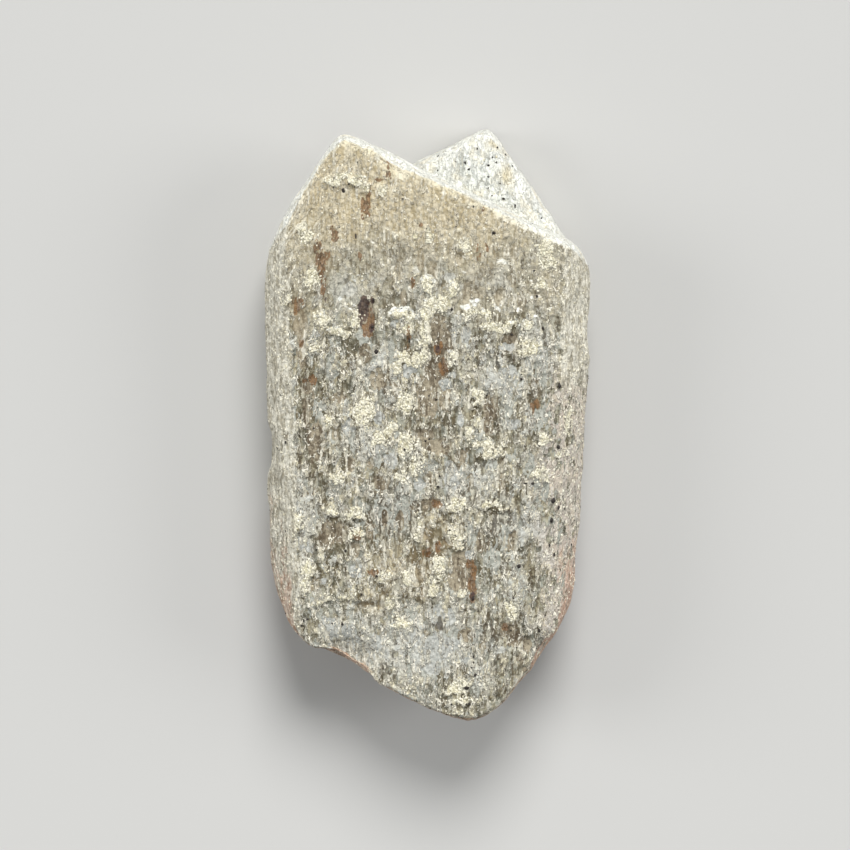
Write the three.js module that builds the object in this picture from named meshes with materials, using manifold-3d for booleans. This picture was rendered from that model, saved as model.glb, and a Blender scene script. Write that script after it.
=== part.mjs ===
// Sanidine crystal: a loose Carlsbad twin of potassium feldspar.
//
// Two tabular individuals grew together, one of them turned half round about the long c axis.
// They share the prism faces along both long sides. At the ends each keeps its own basal plane
// and its own steep end face, so the upper end has a notch between two peaks, and each individual
// stands out past the other as a ledge. The crystal lies on the pinacoid of the back individual.
//
// Units are millimetres. +X runs across the crystal, +Y along c towards the notched end, and +Z
// along b, through the thickness. The origin is the bottom centre of the bounding box.

import * as THREE from 'three';
import { mergeVertices } from 'three/addons/utils/BufferGeometryUtils.js';
import Module from 'manifold-3d';

const radians = THREE.MathUtils.degToRad;
const { clamp, smoothstep } = THREE.MathUtils;

// Driving dimensions: the width is from ridge to ridge before wear
const WIDTH = 26.4;
const THICKNESS = 8.7;
const TWIN_PLANE = 4.4;
const RIDGE_WEAR = 0.25;

// The front individual stands out past the back one along the suture, and reaches into it
const SUTURE_STEP = 0.12;
const OVERLAP = 0.35;

// Angles of a sanidine crystal, degrees
const PRISM_TO_PINACOID = 59.4;
const BASAL_SLOPE = 26;
const LOWER_BASAL_SLOPE = 27.5;
const STEEP_FROM_C = 35;

// The unworn peak and tip of each individual, where its basal plane meets its steep end face
const FRONT_PEAK = { x: -6.55, y: 23.6 };
const FRONT_TIP = { x: 4.55, y: -24.15 };
const BACK_PEAK = { x: 5.0, y: 23.35 };
const BACK_TIP = { x: -6.3, y: -18.2 };

// The long sides draw in towards the lower end: full width at this height, and their lean
const FULL_WIDTH_Y = 11;
const SIDE_LEAN = 2;

// Worn corners, each a facet with the direction it faces in degrees from +X and a point on it
const FRONT_WORN_CORNERS = [
  { faces: 159, x: -12.2, y: 14.3 },
  { faces: 32, x: 12.6, y: 13.6 },
  { faces: -22, x: 12.0, y: -13.4 },
  { faces: -52, x: 5.7, y: -22.1 },
  { faces: -90, x: 3.0, y: -23.1 },
  { faces: -128, x: -10.1, y: -17.3 },
  { faces: -147, x: -11.3, y: -15.9 },
  { faces: -166, x: -12.05, y: -13.2 },
];
const BACK_WORN_CORNERS = [
  { faces: 150, x: -12.5, y: 14.0 },
  { faces: -90, x: -6.2, y: -17.7 },
  { faces: -30, x: 11.7, y: -9.4 },
];

// How round the wear has made the edges: the radius, its change and the length it changes over
const EDGE_WEAR = { radius: 0.4, change: 0.15, length: 5 };

// Bites out of the edges: the centre, how far each reaches and how deep it is
const CHIPS = [
  { x: -6.3, y: -18.4, z: 8.4, reach: 3.2, depth: 0.75 },
  { x: 12.3, y: 9.0, z: 7.0, reach: 2.2, depth: 0.3 },
  { x: -12.3, y: -1.5, z: 4.6, reach: 2.4, depth: 0.35 },
  { x: 9.6, y: -17.2, z: 8.6, reach: 2.0, depth: 0.4 },
  { x: -2.3, y: 21.6, z: 8.6, reach: 1.8, depth: 0.4 },
  { x: 9.0, y: 17.6, z: 4.2, reach: 1.8, depth: 0.35 },
  { x: 4.5, y: -12.6, z: 0.4, reach: 2.6, depth: 0.5 },
  { x: -11.2, y: 6.5, z: 0.6, reach: 2.4, depth: 0.45 },
];
const CHIP_FLOOR = 0.35;

// Relief: how high crust stands, how deep hollows are, and how rough the other faces are
const CRUST_HEIGHT = 0.3;
const WINDOW_DEPTH = 0.28;
const TERRACE_DEPTH = 0.3;
const FURROW_DEPTH = 0.16;
const WALL_ROUGHNESS = 0.14;
const LEDGE_ROUGHNESS = 0.1;
const BACK_RELIEF_DEPTH = 0.3;

// Crust and hollows are ragged by this share of their size, over this length
const RAGGED = { share: 0.35, length: 0.9 };

// Patches of crust on the front pinacoid: centre, half size across and along
const CRUST = [
  { x: 1.4, y: 10.9, across: 1.6, along: 1.2 },
  { x: -0.2, y: 7.9, across: 0.6, along: 1.9 },
  { x: -1.8, y: 9.1, across: 1.1, along: 0.8 },
  { x: 4.4, y: 8.9, across: 1.9, along: 0.6 },
  { x: 7.8, y: 6.7, across: 1.0, along: 0.9 },
  { x: 3.8, y: 4.0, across: 0.8, along: 0.7 },
  { x: -1.9, y: 2.8, across: 0.8, along: 1.5 },
  { x: 9.0, y: 12.2, across: 1.3, along: 1.9 },
  { x: -7.0, y: 8.4, across: 1.4, along: 0.7 },
  { x: -5.1, y: 0.7, across: 0.9, along: 0.9 },
  { x: -2.4, y: -0.5, across: 1.9, along: 1.3 },
  { x: -0.6, y: -2.3, across: 0.7, along: 0.9 },
  { x: -6.8, y: -5.0, across: 1.1, along: 1.5 },
  { x: -10.0, y: -6.9, across: 0.8, along: 1.6 },
  { x: 5.0, y: -1.2, across: 1.0, along: 0.9 },
  { x: 8.4, y: -2.3, across: 1.6, along: 1.2 },
  { x: 2.7, y: -5.7, across: 0.9, along: 1.1 },
  { x: -0.5, y: -7.9, across: 0.6, along: 1.4 },
  { x: -3.4, y: -12.3, across: 1.4, along: 1.3 },
  { x: 6.9, y: -11.8, across: 1.2, along: 2.3 },
  { x: 2.6, y: -20.7, across: 1.6, along: 1.1 },
  { x: -6.2, y: 19.5, across: 1.5, along: 0.6 },
];

// Hollows where the feldspar has etched away: centre and half size across and along
const WINDOWS = [
  { x: 1.0, y: 6.7, across: 0.9, along: 2.2 },
  { x: -4.5, y: 9.5, across: 0.8, along: 1.5 },
  { x: 0.6, y: -0.8, across: 0.7, along: 1.4 },
  { x: 4.9, y: 1.8, across: 0.7, along: 1.8 },
  { x: -7.8, y: -8.0, across: 0.7, along: 1.3 },
  { x: 3.6, y: -11.6, across: 0.7, along: 1.9 },
  { x: -9.8, y: 10.3, across: 0.6, along: 1.2 },
];

// The lower terrace of the front pinacoid: the point and rise of its brink, the length of the
// slope down to it, and where it fades out towards the right
const TERRACE = { x: -6.6, y: -13.1, rise: 0.1, slope: 0.8, fadeFrom: -2, fadeTo: 4 };

// The middle of the back pinacoid is left flat: half its size across and along
const BACK_FLAT = { across: 5.5, along: 8.5 };

// What lies closer than this to the plane that the crystal rests on is in that plane
const FLATNESS = 0.03;

// Mesh: cells across, along and through each individual, and the columns at the peak and the tip
const FRONT_CELLS = { across: 30, along: 52, through: 5, peak: 9, tip: 19 };
const BACK_CELLS = { across: 22, along: 40, through: 4, peak: 15, tip: 7 };

// The two outermost cells of a face share this length, and the outermost layer has this height
const RIM_LENGTH = 0.9;
const RIM_HEIGHT = 0.5;

// ---------------------------------------------------------------------------------------------
// Repeatable unevenness

// A number from 0 to 1 that belongs to one corner of a lattice.
function cornerValue(i, j, k) {
  const wave = Math.sin(i * 127.1 + j * 311.7 + k * 74.7) * 43758.5453;
  return wave - Math.floor(wave);
}

// Smooth unevenness from -1 to 1: the corner values of the lattice cell, blended by position.
function unevenness(x, y, z) {
  const cell = [Math.floor(x), Math.floor(y), Math.floor(z)];
  const blend = [x - cell[0], y - cell[1], z - cell[2]].map((t) => t * t * (3 - 2 * t));
  let total = 0;
  for (let corner = 0; corner < 8; corner += 1) {
    const step = [corner & 1, (corner >> 1) & 1, corner >> 2];
    const share = step.reduce((part, s, axis) => part * (s ? blend[axis] : 1 - blend[axis]), 1);
    total += share * cornerValue(cell[0] + step[0], cell[1] + step[1], cell[2] + step[2]);
  }
  return 2 * total - 1;
}

// ---------------------------------------------------------------------------------------------
// The faces of one individual

// A face that stands upright, along b: the direction it faces from +X and a point on it.
function uprightFace(degrees, point) {
  const normal = new THREE.Vector3(Math.cos(radians(degrees)), Math.sin(radians(degrees)), 0);
  const through = new THREE.Vector3(point.x, point.y, 0);
  return new THREE.Plane().setFromNormalAndCoplanarPoint(normal, through);
}

// The prism face of one long side, from the ridge at the twin plane up or down to a pinacoid.
function prismFace(side, up, halfWidth) {
  const out = radians(SIDE_LEAN);
  const sideways = Math.sin(radians(PRISM_TO_PINACOID));
  const normal = new THREE.Vector3(
    side * Math.cos(out) * sideways,
    -Math.sin(out) * sideways,
    up * Math.cos(radians(PRISM_TO_PINACOID)),
  );
  const ridge = new THREE.Vector3(side * (halfWidth + RIDGE_WEAR), FULL_WIDTH_Y, TWIN_PLANE);
  return new THREE.Plane().setFromNormalAndCoplanarPoint(normal, ridge);
}

// The basal and steep faces at both ends, and the worn corners. The hand of an individual is the
// side of the steep face at its peak: -1 for the left, 1 for the right.
function endFaces({ hand, peak, tip, lowerSlope, wornCorners }) {
  return [
    uprightFace(90 + hand * BASAL_SLOPE, peak),
    uprightFace(90 - hand * (90 - STEEP_FROM_C), peak),
    uprightFace(-90 + hand * lowerSlope, tip),
    uprightFace(-90 - hand * (90 - STEEP_FROM_C), tip),
    ...wornCorners.map((corner) => uprightFace(corner.faces, corner)),
  ];
}

// The prism faces, and the worn ridges between them and those of the other individual.
function sideFaces({ up, halfWidth }) {
  return [
    uprightFace(-SIDE_LEAN, { x: halfWidth, y: FULL_WIDTH_Y }),
    uprightFace(180 + SIDE_LEAN, { x: -halfWidth, y: FULL_WIDTH_Y }),
    prismFace(1, up, halfWidth),
    prismFace(-1, up, halfWidth),
  ];
}

function pinacoids({ bottom, top }) {
  return [
    new THREE.Plane(new THREE.Vector3(0, 0, 1), -top),
    new THREE.Plane(new THREE.Vector3(0, 0, -1), bottom),
  ];
}

// ---------------------------------------------------------------------------------------------
// From a box of cells to the worn individual

// A value that runs straight from knot to knot, each a pair of a cell number and a value.
function alongKnots(knots, cell) {
  let value = knots[0][1];
  for (let i = 1; i < knots.length; i += 1) {
    const share = (cell - knots[i - 1][0]) / (knots[i][0] - knots[i - 1][0]);
    value += clamp(share, 0, 1) * (knots[i][1] - knots[i - 1][1]);
  }
  return value;
}

// Knots from one edge of a face to the other, with two short cells at each edge.
function faceKnots(cells, low, high, between = []) {
  const first = [2, low + RIM_LENGTH];
  const last = [cells - 2, high - RIM_LENGTH];
  return [[0, low], first, ...between, last, [cells, high]];
}

function layerKnots(cells, low, high) {
  return [[0, low], [1, low + RIM_HEIGHT], [cells - 1, high - RIM_HEIGHT], [cells, high]];
}

// Where the column at this x ends: at the nearest of the upper or of the lower end faces.
function columnEnd(ends, x, upper) {
  const facing = ends.filter((face) => (upper ? face.normal.y > 0 : face.normal.y < 0));
  const heights = facing.map((face) => -(face.constant + face.normal.x * x) / face.normal.y);
  return upper ? Math.min(...heights) : Math.max(...heights);
}

// Half the width of the unworn individual at a height z and, with the sides' lean, at y.
function halfWidthAt(halfWidth, y, z) {
  const slope = 1 / Math.tan(radians(PRISM_TO_PINACOID));
  const prism = halfWidth + RIDGE_WEAR - Math.abs(z - TWIN_PLANE) * slope;
  return Math.min(halfWidth, prism) + (y - FULL_WIDTH_Y) * Math.tan(radians(SIDE_LEAN));
}

// Moves a point of the unit box to the unworn crystal. The columns of cells run along c, and the
// width and the height of a point depend on each other, so they are worked out in a few rounds.
function placeOnCrystal(point, shape, ends) {
  const { cells, bottom, top, peak, tip, halfWidth } = shape;
  const z = alongKnots(layerKnots(cells.through, bottom, top), point.z * cells.through);
  const between = [[cells.peak, peak.x], [cells.tip, tip.x]].sort((a, b) => a[0] - b[0]);
  let x = 0;
  let y = 0;
  for (let round = 0; round < 4; round += 1) {
    const half = halfWidthAt(halfWidth, y, z);
    x = alongKnots(faceKnots(cells.across, -half, half, between), point.x * cells.across);
    const low = columnEnd(ends, x, false);
    const high = columnEnd(ends, x, true);
    y = alongKnots(faceKnots(cells.along, low, high), point.y * cells.along);
  }
  point.set(x, y, z);
}

// Moves a point to the worn surface, and gives the direction that the surface faces there. The
// worn surface is where the soft maximum of the distances to all faces is nothing.
function wear(point, faces) {
  const { radius, change, length } = EDGE_WEAR;
  const soft = radius + change * unevenness(point.x / length, point.y / length, point.z / length);
  const normal = new THREE.Vector3();
  for (let round = 0; round < 5; round += 1) {
    let sum = 0;
    normal.set(0, 0, 0);
    for (const face of faces) {
      const weight = Math.exp(face.distanceToPoint(point) / soft);
      sum += weight;
      normal.addScaledVector(face.normal, weight);
    }
    normal.divideScalar(sum);
    point.addScaledVector(normal, (-soft * Math.log(sum)) / normal.lengthSq());
  }
  return normal.normalize();
}

// ---------------------------------------------------------------------------------------------
// Relief, as a height over the worn surface

// How far inside any of the patches a point is: 1 well inside and 0 outside.
function coverage(patches, x, y, ragged) {
  const inside = patches.map((patch) => {
    const far = Math.hypot((x - patch.x) / patch.across, (y - patch.y) / patch.along);
    return 1 - smoothstep(far + ragged, 0.65, 1.15);
  });
  return Math.max(...inside);
}

// Shallow furrows that run along c, each a few millimetres long, over broader ones.
function furrows(x, y) {
  return unevenness(x / 0.95, y / 4.2, 3.5) + 0.6 * unevenness(x / 2.3, y / 9, 8.5);
}

function terraceDepth(x, y) {
  const wavy = 0.5 * unevenness(x / 1.6, 0, 5.5);
  const brink = TERRACE.y + TERRACE.rise * (x - TERRACE.x) + wavy;
  const lower = smoothstep(brink - y, 0, TERRACE.slope);
  return TERRACE_DEPTH * lower * (1 - smoothstep(x, TERRACE.fadeFrom, TERRACE.fadeTo));
}

function frontRelief({ x, y }) {
  const ragged = RAGGED.share * unevenness(x / RAGGED.length, y / RAGGED.length, 1.5);
  const crust = coverage(CRUST, x, y, ragged);
  const window = (1 - crust) * coverage(WINDOWS, x, y, ragged / 2);
  const raised = CRUST_HEIGHT * crust + FURROW_DEPTH * (1 - crust) * furrows(x, y);
  return raised - WINDOW_DEPTH * window - terraceDepth(x, y);
}

function ledgeRelief({ x, y }) {
  return LEDGE_ROUGHNESS * unevenness(x / 1.1, y / 1.1, 6.5);
}

// The back pinacoid is only cut into, so that what is left of it stays one flat plane.
function backRelief({ x, y }) {
  const depth = 0.9 * furrows(x + 40, y) + 0.7 * unevenness(x / 3.1, y / 4.3, 2.5) - 0.25;
  const outside = smoothstep(Math.hypot(x / BACK_FLAT.across, y / BACK_FLAT.along), 1, 1.3);
  return -BACK_RELIEF_DEPTH * outside * clamp(depth, 0, 1);
}

function wallRelief({ x, y, z }) {
  const broad = unevenness(x / 2.6, y / 2.6, z / 2.2);
  const fine = unevenness(x / 1.1 + 20, y / 1.1, z / 1.1);
  return WALL_ROUGHNESS * (0.8 * broad + 0.5 * fine - 0.3);
}

function chipDepth(point) {
  const bites = CHIPS.map((chip) => {
    const far = Math.hypot(point.x - chip.x, point.y - chip.y, point.z - chip.z);
    return chip.depth * (1 - smoothstep(far, CHIP_FLOOR * chip.reach, chip.reach));
  });
  return Math.max(...bites);
}

// Raises or lowers a point by the relief of the face that it is on.
function roughen(point, normal, shape) {
  const upward = smoothstep(normal.z, 0.6, 0.95);
  const downward = smoothstep(-normal.z, 0.6, 0.95);
  const height = upward * shape.upperRelief(point)
    + downward * shape.lowerRelief(point)
    + (1 - upward - downward) * wallRelief(point)
    - (1 - downward) * chipDepth(point);
  point.addScaledVector(normal, height);
  if (point.z < FLATNESS) point.setZ(0);
}

// ---------------------------------------------------------------------------------------------
// The solid

const wasm = await Module();
wasm.setup();

// One closed individual: a box of cells whose surface is laid on the crystal, worn and roughened.
function individual(shape) {
  const { across, along, through } = shape.cells;
  const box = new THREE.BoxGeometry(1, 1, 1, across, along, through);
  box.deleteAttribute('normal');
  box.deleteAttribute('uv');
  const surface = mergeVertices(box);
  const ends = endFaces(shape);
  const faces = [...ends, ...sideFaces(shape), ...pinacoids(shape)];
  const { position } = surface.attributes;
  const point = new THREE.Vector3();
  for (let i = 0; i < position.count; i += 1) {
    point.fromBufferAttribute(position, i).addScalar(0.5);
    placeOnCrystal(point, shape, ends);
    roughen(point, wear(point, faces), shape);
    position.setXYZ(i, point.x, point.y, point.z);
  }
  return new wasm.Manifold(new wasm.Mesh({
    numProp: 3,
    vertProperties: position.array,
    triVerts: new Uint32Array(surface.index.array),
  }));
}

const front = individual({
  hand: -1,
  up: 1,
  halfWidth: WIDTH / 2,
  bottom: TWIN_PLANE - OVERLAP,
  top: THICKNESS,
  peak: FRONT_PEAK,
  tip: FRONT_TIP,
  lowerSlope: LOWER_BASAL_SLOPE,
  wornCorners: FRONT_WORN_CORNERS,
  cells: FRONT_CELLS,
  upperRelief: frontRelief,
  lowerRelief: ledgeRelief,
});

const back = individual({
  hand: 1,
  up: -1,
  halfWidth: WIDTH / 2 - SUTURE_STEP,
  bottom: 0,
  top: TWIN_PLANE,
  peak: BACK_PEAK,
  tip: BACK_TIP,
  lowerSlope: BASAL_SLOPE,
  wornCorners: BACK_WORN_CORNERS,
  cells: BACK_CELLS,
  upperRelief: ledgeRelief,
  lowerRelief: backRelief,
});

// The grown-together solid as a geometry, with its origin at the bottom centre of its box.
function geometryOf(solid) {
  const { vertProperties, triVerts } = solid.getMesh();
  const geometry = new THREE.BufferGeometry();
  geometry.setAttribute('position', new THREE.BufferAttribute(vertProperties, 3));
  geometry.setIndex(new THREE.BufferAttribute(triVerts, 1));
  geometry.computeBoundingBox();
  const { min, max } = geometry.boundingBox;
  geometry.translate(-(min.x + max.x) / 2, -(min.y + max.y) / 2, -min.z);
  geometry.computeVertexNormals();
  return geometry;
}

const weatheredFeldspar = new THREE.MeshStandardMaterial({
  color: 0xb5ae9b,
  roughness: 0.85,
  metalness: 0,
  flatShading: true,
});

const crystal = new THREE.Mesh(geometryOf(front.add(back)), weatheredFeldspar);
crystal.name = 'sanidine_crystal';

const part = new THREE.Group();
part.add(crystal);

export default part;
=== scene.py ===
import math

import bpy
import numpy as np
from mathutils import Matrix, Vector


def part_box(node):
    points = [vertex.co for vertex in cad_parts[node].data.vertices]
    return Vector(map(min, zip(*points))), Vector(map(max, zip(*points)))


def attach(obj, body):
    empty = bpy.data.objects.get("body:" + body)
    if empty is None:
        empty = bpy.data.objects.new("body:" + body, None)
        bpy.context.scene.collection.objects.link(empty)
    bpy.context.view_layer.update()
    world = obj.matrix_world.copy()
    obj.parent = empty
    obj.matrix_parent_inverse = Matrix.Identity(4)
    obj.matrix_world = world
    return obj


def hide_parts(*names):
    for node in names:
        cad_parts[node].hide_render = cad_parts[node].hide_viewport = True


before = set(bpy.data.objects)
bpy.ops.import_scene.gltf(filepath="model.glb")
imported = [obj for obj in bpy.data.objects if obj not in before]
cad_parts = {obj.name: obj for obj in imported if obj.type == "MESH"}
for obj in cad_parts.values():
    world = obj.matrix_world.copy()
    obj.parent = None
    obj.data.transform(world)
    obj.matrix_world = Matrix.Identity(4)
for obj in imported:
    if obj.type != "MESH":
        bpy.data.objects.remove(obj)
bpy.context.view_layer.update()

# ---------------------------------------------------------------------------------------------
# Crystal. A Carlsbad twin of sanidine, a potassium feldspar: two flat tablets that grew into each
# other, one turned half round about the long axis. They share the prism faces along the sides.
# Weathering has rounded the edges, etched the faces along the grain and left a crust on them.

# All sizes are in millimetres: x runs across, y along the c axis, z through the thickness. An
# individual's ends start from its peak and tip, and its worn corners are a bearing and a point.
TWIN_PLANE = 4.4
RIDGE_WEAR = 0.25
PRISM_ANGLE = math.radians(59.4)
BASAL_SLOPE = 26.0
STEEP_FROM_C = 35.0
FULL_WIDTH_Y = 11.0
SIDE_LEAN = 2.0

FRONT = dict(
    hand=-1, up=1, half=13.2, bottom=4.05, top=8.7, lower_slope=27.5,
    peak=(-6.55, 23.6), tip=(4.55, -24.15), cells=(150, 285, 18),
    worn=[(159, -12.2, 14.3), (32, 12.6, 13.6), (-22, 12.0, -13.4), (-52, 5.7, -22.1),
          (-90, 3.0, -23.1), (-128, -10.1, -17.3), (-147, -11.3, -15.9), (-166, -12.05, -13.2)],
)
BACK = dict(
    hand=1, up=-1, half=13.08, bottom=0.0, top=4.4, lower_slope=26.0,
    peak=(5.0, 23.35), tip=(-6.3, -18.2), cells=(88, 160, 14),
    worn=[(150, -12.5, 14.0), (-90, -6.2, -17.7), (-30, 11.7, -9.4)],
)
EDGE_RADIUS, EDGE_CHANGE, EDGE_LENGTH = 0.4, 0.15, 5.0
RIM_LENGTH, RIM_HEIGHT, RIM_SHARE = 0.9, 0.7, 0.035


def corner_value(i, j, k):
    """Repeatable number from 0 to 1 at a lattice corner: the fraction of 43758.5453 sin(a.ijk)."""
    wave = np.sin(i * 127.1 + j * 311.7 + k * 74.7) * 43758.5453
    return wave - np.floor(wave)


def unevenness(x, y, z):
    """Smooth unevenness from -1 to 1: the corner values of the cell, blended by 3t^2 - 2t^3."""
    p = np.stack(np.broadcast_arrays(x, y, z), -1)
    cell = np.floor(p)
    blend = (p - cell) ** 2 * (3 - 2 * (p - cell))
    total = 0.0
    for corner in np.ndindex(2, 2, 2):
        share = np.prod(np.where(corner, blend, 1 - blend), axis=-1)
        total = total + share * corner_value(*np.moveaxis(cell + corner, -1, 0))
    return 2 * total - 1


def grains(x, y, z):
    """Distance to the nearest of one seed per lattice cell, how near the border to the next
    grain is, and a number from 0 to 1 that belongs to that grain."""
    p = np.stack(np.broadcast_arrays(x, y, z), -1)
    cell = np.floor(p)
    near = np.full(p.shape[:-1], 9.0)
    second = near.copy()
    tone = np.zeros_like(near)
    for step in np.ndindex(3, 3, 3):
        home = cell + step - 1
        i, j, k = np.moveaxis(home, -1, 0)
        jitter = np.stack([corner_value(i + 7, j, k), corner_value(i, j + 19, k),
                           corner_value(i, j, k + 31)], -1)
        far = np.linalg.norm(home + jitter - p, axis=-1)
        closer = far < near
        second = np.where(closer, near, np.minimum(second, far))
        tone = np.where(closer, corner_value(i + 3, j + 5, k + 11), tone)
        near = np.where(closer, far, near)
    return near, second - near, tone


def ease(value, low, high):
    """3t^2 - 2t^3 of t, the value's share of the way from low to high."""
    t = np.clip((value - low) / (high - low), 0, 1)
    return t * t * (3 - 2 * t)


def box_skin(cells):
    """Points (i, j, k) of the skin of a box of cells, and its quads, all facing out."""
    size = np.array(cells)
    square = np.array([[0, 0], [1, 0], [1, 1], [0, 1]])
    quads = []
    for axis in range(3):
        b, c = (axis + 1) % 3, (axis + 2) % 3
        grid = np.stack(np.meshgrid(np.arange(size[b]), np.arange(size[c]), indexing="ij"), -1)
        grid = grid.reshape(-1, 1, 2)
        for side, turn in ((0, square[::-1]), (size[axis], square)):
            quad = np.full((len(grid), 4, 3), side)
            quad[..., [b, c]] = grid + turn
            quads.append(quad)
    points, index = np.unique(np.concatenate(quads).reshape(-1, 3), axis=0, return_inverse=True)
    return points, index.reshape(-1, 4)


def upright(degrees, x, y):
    """An upright face as its normal and its distance from the origin, through the point x, y."""
    a = math.radians(degrees)
    return [math.cos(a), math.sin(a), 0.0, x * math.cos(a) + y * math.sin(a)]


def faces_of(shape):
    """The end faces of an individual, and all its faces, as rows of normal and distance."""
    hand, steep = shape["hand"], 90 - STEEP_FROM_C
    ends = [upright(90 + hand * BASAL_SLOPE, *shape["peak"]),
            upright(90 - hand * steep, *shape["peak"]),
            upright(-90 + hand * shape["lower_slope"], *shape["tip"]),
            upright(-90 - hand * steep, *shape["tip"])]
    ends += [upright(*corner) for corner in shape["worn"]]
    sides = []
    for side, facing in ((1, -SIDE_LEAN), (-1, 180 + SIDE_LEAN)):
        ridge = upright(facing, side * shape["half"], FULL_WIDTH_Y)
        outer = upright(facing, side * (shape["half"] + RIDGE_WEAR), FULL_WIDTH_Y)
        tilt = shape["up"] * math.cos(PRISM_ANGLE)
        flat = math.sin(PRISM_ANGLE)
        sides.append(ridge)
        sides.append([outer[0] * flat, outer[1] * flat, tilt, outer[3] * flat + tilt * TWIN_PLANE])
    caps = [[0, 0, 1, shape["top"]], [0, 0, -1, -shape["bottom"]]]
    return np.array(ends), np.array(ends + sides + caps)


def along_knots(cells, values, t):
    """v0 + sum of clip((t - c0) / (c1 - c0), 0, 1) (v1 - v0) over the knots."""
    total = values[0]
    for c0, c1, v0, v1 in zip(cells, cells[1:], values, values[1:]):
        total = total + np.clip((t - c0) / (c1 - c0), 0, 1) * (v1 - v0)
    return total


def unworn(shape, uvw, ends):
    """The sharp individual: z runs with w, x runs with u between the ridges, and y runs with v
    from the nearest lower to the nearest upper end face at that x."""
    u, v, w = uvw.T
    rim = RIM_SHARE
    z = along_knots([0, 4 * rim, 1 - 4 * rim, 1],
                    [shape["bottom"], shape["bottom"] + RIM_HEIGHT,
                     shape["top"] - RIM_HEIGHT, shape["top"]], w)
    prism = shape["half"] + RIDGE_WEAR - abs(z - TWIN_PLANE) / math.tan(PRISM_ANGLE)
    level = np.minimum(shape["half"], prism)
    y = np.zeros_like(u)
    for _ in range(5):
        half = level + (y - FULL_WIDTH_Y) * math.tan(math.radians(SIDE_LEAN))
        x = along_knots([0, rim, 1 - rim, 1],
                        [-half, -half + RIM_LENGTH, half - RIM_LENGTH, half], u)
        reach = (ends[:, 3] - x[:, None] * ends[:, 0]) / ends[:, 1]
        high = np.where(ends[:, 1] > 0, reach, np.inf).min(axis=1)
        low = np.where(ends[:, 1] < 0, reach, -np.inf).max(axis=1)
        y = along_knots([0, rim / 2, 1 - rim / 2, 1],
                        [low, low + RIM_LENGTH, high - RIM_LENGTH, high], v)
    return np.stack([x, y, z], -1)


def worn(points, faces):
    """The worn surface, where r ln(sum of exp(distance / r)) over all faces is nothing, reached
    by Newton's steps, and the direction it faces."""
    wave = unevenness(*(points.T / EDGE_LENGTH))
    radius = (EDGE_RADIUS + EDGE_CHANGE * wave)[:, None]
    for _ in range(6):
        weight = np.exp((points @ faces[:, :3].T - faces[:, 3]) / radius)
        total = weight.sum(axis=1, keepdims=True)
        normal = (weight @ faces[:, :3]) / total
        points = points - normal * radius * np.log(total) / (normal ** 2).sum(1, keepdims=True)
    return points, normal / np.linalg.norm(normal, axis=1, keepdims=True)


# Relief. Crust stands proud, windows and plates are etched in, and a terrace lies lower near the
# foot of the front face
CRUST_HEIGHT, WINDOW_DEPTH, TERRACE_DEPTH, FURROW_DEPTH = 0.09, 0.12, 0.3, 0.14
PALE_HEIGHT, PLATE_DEPTH, GRAIN_HEIGHT, SUGAR_HEIGHT = 0.07, 0.1, 0.1, 0.08
WALL_ROUGHNESS, LEDGE_ROUGHNESS, BACK_DEPTH = 0.14, 0.1, 0.3
PLATE_SIZE, BROAD_PLATE_SIZE = (0.34, 1.7), (0.8, 3.4)
GRAIN_SIZE, SUGAR_SIZE = 0.32, 0.36

# The view: its pixels, the millimetres it is wide at its target, its tilt from straight down and
# the target. The front face and what lies on it are this high.
VIEW_PIXELS, VIEW_MIDDLE = 850, (425, 424.5)
VIEW_WIDTH, VIEW_TILT = 66.6144, math.radians(9)
VIEW_TARGET = np.array([-0.2, 0.0, 4.4])
FACE_HEIGHT = 8.8
# How much wider and longer than listed the patches of each finish are
CRUST_GROWTH, WINDOW_GROWTH = (1.15, 1.15), (1.2, 1.2)
SMOOTH_GROWTH, RUST_GROWTH = (1.25, 1.25), (1.68, 1.96)


def seen(rows, height, growth=(1, 1)):
    """Rows of centre x, y, half width and half length in millimetres, from rows in pixels of the
    view: pixels over the scale, and along y over the cosine of the tilt too. A height over the
    target moves the centre along y by that height times the tangent of the tilt."""
    rows = np.array(rows)
    scale = VIEW_PIXELS / VIEW_WIDTH * np.array([1, math.cos(VIEW_TILT)])
    centre = (rows[:, :2] - VIEW_MIDDLE) / scale * (1, -1) + VIEW_TARGET[:2]
    centre[:, 1] += (height - VIEW_TARGET[2]) * math.tan(VIEW_TILT)
    return np.hstack([centre, rows[:, 2:] / scale * growth])


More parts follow.
